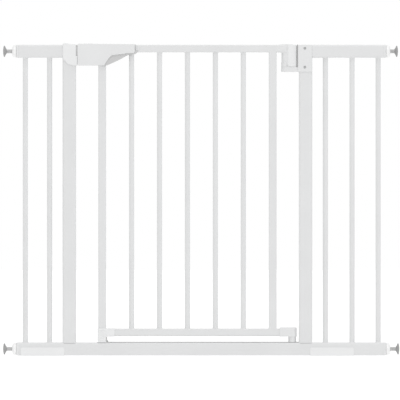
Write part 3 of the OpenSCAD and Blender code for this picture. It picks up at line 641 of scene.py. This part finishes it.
def shell_half(name, sign, more=()):
    """One shell of the housing: sign -1 is the front, 1 the back."""
    bay, rail_y = half - shell, door_half + 0.1
    cuts = [block(hx0 + shell, stile_l[0] - 1.4, -1, bay, hz0 + shell, gate_top - 1.8, 1),
            block(stile_l[0] - 1.5, hx1 - 6, -1, bay, hz0 + shell, gate_top - 4, 1),
            block(hx1 - 80, hx1 + 1, -1, bay, hz0 - 9, trigger_pin[1] + 1.5),
            block(stile_l[0] - 1.4, hx1 + 1, -1, rail_y, door_high[4] - 0.1, gate_top + 0.1),
            block(stile_l[0] - 0.2, stile_l[1] + 0.2, -1, rail_y, hz0 - 1, door_high[4]),
            block(hx0 - 1, hx0 + 3, -1, 5.2, bolt_z - 3.8, bolt_z + 3.8),
            block(hx0 + 4.8, hx0 + 40, -1, 8.4, gate_top + 0.5, hz1 + 1),
            block(hx0 + 10.8, hx0 + 34, -1, 3, gate_top - 3, hz1 + 1), *more]
    piece(name, mirrored(pillow("y", housing, 0.06, half, 0.35, 1.0, n=8), sign, "y"), "white_plastic",
          "door", [name], add=[mirrored(pillow("y", crisp_end, 0.06, half, 0.35, 0.2), sign, "y")],
          cut=[mirrored(tool, sign, "y") for tool in cuts])


shell_half("handle_front", -1)
shell_half("handle_rear", 1, [rod("y", half - 2, half + 2, x, z, 3.2) for x, z in bosses])
screw_set("handle_screws", "door", bosses, half - 0.3, 2.9, -1, half + 8)

# Ribbed boot over the lower latch corner
boot = span("latch_foot")
boot_z0, boot_pitch, boot_rib = base_top + 0.15, 6.1, 2.6
leg_x0, leg_x1 = stile_l[0] - 1.2, lug_x - 0.8
boot_leg = pillow("z", box_corners(leg_x0, leg_x1, -11.2, 11.2, 2), boot_z0, door_low[5] + 1, 0.1, 0.8)
cuff_plan = box_corners(-11, 11, door_low[4] - 0.8, door_low[5] + 0.8, 2.5)
cuff = pillow("x", cuff_plan, leg_x1 - 3, boot[1], 0.1, 1.2)
rib_plan = box_corners(boot[0], leg_x1 - 1.8, boot[2], boot[3], 2.4)
boot_ribs = [pillow("z", rib_plan, boot_z0, base_top + 0.1 + boot_rib, 0.1, 0.8)]
for k in range(1, 6):
    z = base_top + 0.1 + boot_pitch * k
    boot_ribs.append(pillow("z", rib_plan, z, z + boot_rib, 0.8))
piece("latch_foot", boot_leg, "bright_plastic", "door", ["latch_foot"],
      add=[cuff] + boot_ribs,
      cut=[block(stile_l[0], boot[1] + 3, -door_half, door_half, door_low[4], door_low[5] + 0.1),
           block(stile_l[0] - 0.1, stile_l[1] + 0.1, -door_half - 0.1, door_half + 0.1, door_low[5],
                 door_low[5] + 3),
           rod("z", base_top - 1, door_low[4] + 1, rod_x, 0, 3)])


def rail_room(rail, x0):
    """Room for the end of a door rail, from x0 to just past that end."""
    side = door_half + 0.05
    plan = box_corners(-side, side, rail[4] - 0.05, rail[5] + 0.05, door_r)
    return pillow("x", plan, x0, rail[1] + 0.1, 0)


# Knuckle on the hinge pin: a web below the rail's end, a heel flush with the bracket's shelf, a
# collar that swells out of the rail, and a barrel with rounded corners, which is a piece of its own
# in the brighter plastic: painted light from the right front
knuckle = span("hinge_knuckle")
web_half, heel_half, barrel_half = 9.5, shelf_half - 0.1, 9.9
knuckle_z0, knuckle_z1 = shelf_z1 + 0.15, knuckle[5]
web = pillow("z", box_corners(pivot_x - 26, pivot_x + 2, -web_half, web_half, 9), knuckle_z0, knuckle_z1,
             0.1, 1.0, n=10)
heel = pillow("z", box_corners(shelf_x0, pivot_x - 14, -heel_half, heel_half, shelf_r, 0.5),
              knuckle_z0, knuckle_z0 + 11.8, 0.1, 1.2, n=12)
swell = ((0, 0.1), (5.5, 0.15), (7, 0.5), (8.3, 0.9), (10, 1.1), (12, 1.2), (25, 1.2))
door_rail_h, door_rail_z = door_high[5] - door_high[4], middle(door_high, "z")
collar = [(knuckle[0] + t, round_rect(2 * (door_half + g), door_rail_h + 2 * g, door_r + g, 0, door_rail_z))
          for t, g in swell]
pin_way = rod("z", knuckle[4] - 1, gate_top - 7, pivot_x, 0, pin_hole)
piece("hinge_knuckle", stack("x", collar), "white_plastic", "door", ["hinge_knuckle"], add=[web, heel],
      cut=[rail_room(door_high, knuckle[0] - 1), pin_way])
barrel_x0, barrel_x1 = pivot_x - 11, pivot_x + 11.4
barrel = [(barrel_x0, knuckle_z0, 9), (barrel_x1, knuckle_z0, 0.3), (barrel_x1, knuckle_z1 - 2.2, 4),
          (pivot_x - 2, knuckle_z1, 12), (barrel_x0, knuckle_z1, 0.3)]
turned = rod("z", knuckle_z0 - 1, knuckle_z1 + 1, pivot_x, 0, turning_r - turning_gap, 96)
# The barrel is made in the brighter plastic, lighter than the rest of the knuckle: painted light from the
# right front
piece("hinge_barrel", pillow("y", barrel, -barrel_half, barrel_half, 0.7, n=10), "bright_plastic", "door",
      keep=[turned], cut=[pin_way])

# Cap over the end of the bottom rail; its round leg reaches into the gap in the threshold strip
cap = span("pivot_cap")
cap_plan = box_corners(cap[0], cap[1], -11, 11, 1.0, 10.8)
leg_z0, leg_r = base_top + 0.6, 9.4
cap_leg = [(leg_r - 0.6, leg_z0), (leg_r - 0.2, leg_z0 + 0.2), (leg_r, leg_z0 + 0.6),
           (leg_r, door_low[4] + 2)]
piece("pivot_cap", pillow("z", cap_plan, door_low[4] - 1.1, cap[5], 0.4, 2.2, n=12), "white_plastic",
      "door", ["pivot_cap"], add=[lathe("z", cap_leg, pivot_x, 0)],
      cut=[rail_room(door_low, cap[0] - 2), rod("z", leg_z0 - 1, cap[4], pivot_x, 0, 7),
           rod("z", leg_z0 - 1, door_low[4] + 14, pivot_x, 0, pin_seat)])

# ---------------------------------------------------------------- moving parts in the handle

# Trigger: two cheeks outside the door's rail, joined by the web that the fingers squeeze
trigger = span("release_trigger")
pin_x, pin_z = trigger_pin
cheek = [(hx0 + 67.2, hz0 + 0.8, 0.8), (hx0 + 72.4, hz0 + 0.8, 1.5), (hx0 + 102.9, hz0 + 14.4, 200),
         (hx0 + 123.3, hz0 + 26, 6), (hx0 + 140.5, hz0 + 27.9, 3), (hx0 + 148.2, hz0 + 33.8, 1),
         (hx0 + 147, hz0 + 35.2, 1), (hx1 + 1.6, hz0 + 35.5, 0.5), (hx1 + 1.6, hz1 - 1.4, 0.6),
         (hx1 + 0.4, hz1 - 1.4, 0.5), (hx1 + 0.4, pin_z + 0.3, 0.5), (pin_x + 7.5, pin_z + 0.3, 1),
         (pin_x + 5.5, pin_z + 4.5, 3), (pin_x - 2, pin_z + 6, 3), (pin_x - 36, pin_z - 1.5, 6),
         (hx0 + 67.2, hz0 + 20, 3)]
grip_web = [(hx0 + 74.9, hz0 + 2.2, 0.8), (hx0 + 102.9, hz0 + 14.8, 60), (hx0 + 118.4, hz0 + 23.3, 0.8),
            (hx0 + 116.8, hz0 + 25.5, 0.8), (hx0 + 101.5, hz0 + 17.2, 60), (hx0 + 74.9, hz0 + 5.4, 0.8)]
cheeks = [pillow("y", cheek, y, y + 3, 0.5) for y in (trigger[2], trigger[3] - 3)]
piece("release_trigger", cheeks[0], "grey_plastic", "trigger", ["release_trigger"],
      add=[cheeks[1], pillow("y", grip_web, -11, 11, 0.05)],
      cut=[rod("y", -15, 15, pin_x, pin_z, cross_hole)])

# The trigger's coil spring, made at its rest length; on the real gate it shortens against the door's top rail
# as the trigger is squeezed
coil_box = span("trigger_spring")
wire, coil_turns = 0.45, 7
coil_r = (coil_box[3] - coil_box[2]) / 2 - wire
coil_low, coil_high = coil_box[4] + wire, coil_box[5] - wire
winding = coil(middle(coil_box, "x"), coil_low, coil_r, wire, (coil_high - coil_low) / coil_turns, coil_turns)
trigger_spring = piece("trigger_coil", winding, "bare_steel", "door", ["trigger_spring"])
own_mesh(trigger_spring)

# Button on top of the handle, with a foot on the bolt and round ridges for the thumb
button = span("thumb_button")
button_x0, button_z0, button_z1 = button[0], gate_top + 0.8, button[5] - 0.6
button_foot = block(button_x0 + 6, button_x0 + 20, -2.6, 2.6, bolt_z + 3.5, gate_top + 0.9, 0.5)
ridge = [(0.01, -7.2), (0.6, -7.0), (0.8, -6.4), (0.8, 6.4), (0.6, 7.0), (0.01, 7.2)]
ridges = [lathe("y", ridge, button_x0 + 5 + 4 * k, hz1 - 0.1, 20) for k in range(5)]
piece("thumb_button", block(button_x0, button[1], *button[2:4], button_z0, button_z1, 2.5, 0.5),
      "grey_plastic", "lock", ["thumb_button"], add=[button_foot] + ridges)

# ---------------------------------------------------------------- stage, light and camera

bpy.ops.mesh.primitive_plane_add(size=40.0, location=(0, 0, 0))
floor = bpy.context.object
floor.name = "floor"
paper = bpy.data.materials.new("paper_floor")
paper.use_nodes = True
paper_nodes = paper.node_tree
paper_shader = paper_nodes.nodes["Principled BSDF"]
paper_shader.inputs["Roughness"].default_value = 0.9
paper_shader.inputs["Specular IOR Level"].default_value = 0.1
paper_shader.inputs["Emission Strength"].default_value = 0.9
paper_shader.inputs["Emission Color"].default_value = (1, 1, 1, 1)
paper_colour = mix_colour(paper_nodes, noise(paper_nodes, 3.0), grey(0.17), grey(0.15))
paper_nodes.links.new(paper_colour, paper_shader.inputs["Base Color"])
floor.data.materials.append(paper)

# A white world, a little darker where it lights the gate than where the camera sees it
world = bpy.data.worlds.new("studio")
bpy.context.scene.world = world
world.use_nodes = True
sky = world.node_tree
backdrop, fill = sky.nodes["Background"], sky.nodes.new("ShaderNodeBackground")
for light, strength in ((backdrop, 1.0), (fill, 0.862)):
    light.inputs["Color"].default_value = (1, 1, 1, 1)
    light.inputs["Strength"].default_value = strength
seen = sky.nodes.new("ShaderNodeLightPath")
choose = sky.nodes.new("ShaderNodeMixShader")
sky.links.new(seen.outputs["Is Camera Ray"], choose.inputs["Fac"])
sky.links.new(fill.outputs["Background"], choose.inputs[1])
sky.links.new(backdrop.outputs["Background"], choose.inputs[2])
sky.links.new(choose.outputs["Shader"], sky.nodes["World Output"].inputs["Surface"])

GATE_MIDDLE = Vector((0, 0, 0.38))


def softbox(name, place, size, power):
    """Square lamp, in metres and watts, that faces the middle of the gate."""
    lamp = bpy.data.lights.new(name, "AREA")
    lamp.shape, lamp.size, lamp.energy = "SQUARE", size, power
    obj = bpy.data.objects.new(name, lamp)
    obj.location = place
    obj.rotation_euler = (GATE_MIDDLE - Vector(place)).to_track_quat("-Z", "Y").to_euler()
    bpy.context.scene.collection.objects.link(obj)


softbox("key_top", (0.3, -1.4, 5.4), 3.0, 55)
softbox("key_side", (5.0, -2.6, 2.2), 2.5, 12)

VIEW_WIDTH = 0.9773      # what the picture spans at the gate's front, in metres
LENS, SENSOR = 600.0, 36.0
camera_data = bpy.data.cameras.new("camera")
camera_data.lens, camera_data.sensor_width = LENS, SENSOR
camera_data.clip_end = 100
camera = bpy.data.objects.new("camera", camera_data)
camera.location = (-0.003, -VIEW_WIDTH * LENS / SENSOR - frame_half * MM, 0.3807)
camera.rotation_euler = (math.pi / 2, 0, 0)
bpy.context.scene.collection.objects.link(camera)
bpy.context.scene.camera = camera
bpy.context.scene.view_settings.view_transform = "Standard"
